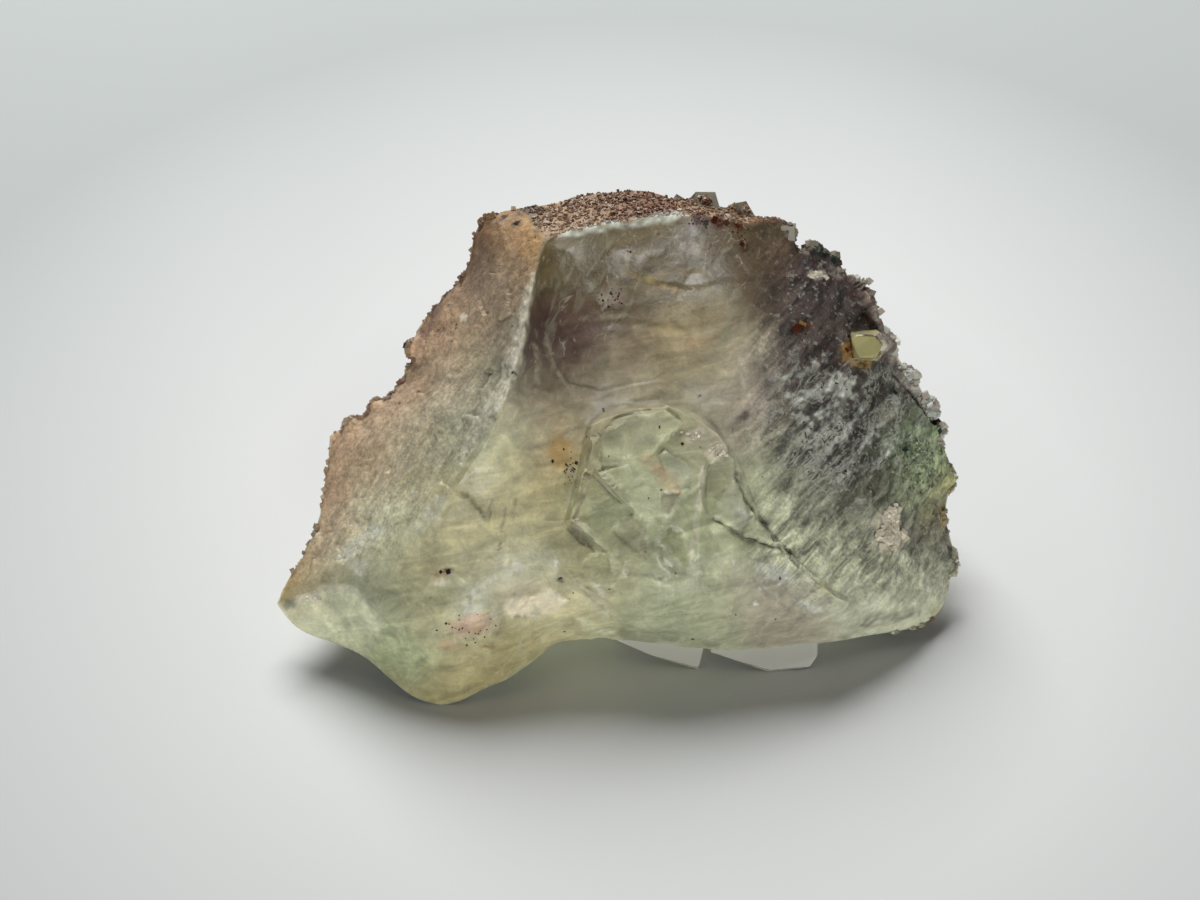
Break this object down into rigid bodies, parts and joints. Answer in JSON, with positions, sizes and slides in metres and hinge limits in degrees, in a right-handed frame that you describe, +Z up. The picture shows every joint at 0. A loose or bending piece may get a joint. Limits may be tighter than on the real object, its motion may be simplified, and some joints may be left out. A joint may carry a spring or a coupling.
{
  "type": "fluorite specimen",
  "caption": "Broken lump of cloudy green fluorite with a violet crust of grown cubes behind, clear cleavage corners below and a flat cleavage face to rest on.",
  "frame": {"origin": "middle of the box's base, on the surface that the lump rests on", "axes": "+X along the longest side, to the right of the broken face; +Y away from it, towards the grown cubes; +Z up"},
  "size_m": [0.0836, 0.0564, 0.0485],
  "materials": {
    "fluorite": "fresh break, waxy to glassy, cloudy inside"
  },
  "bodies": {
    "root": {"fluorite_specimen": "fluorite"}
  },
  "joints": []
}
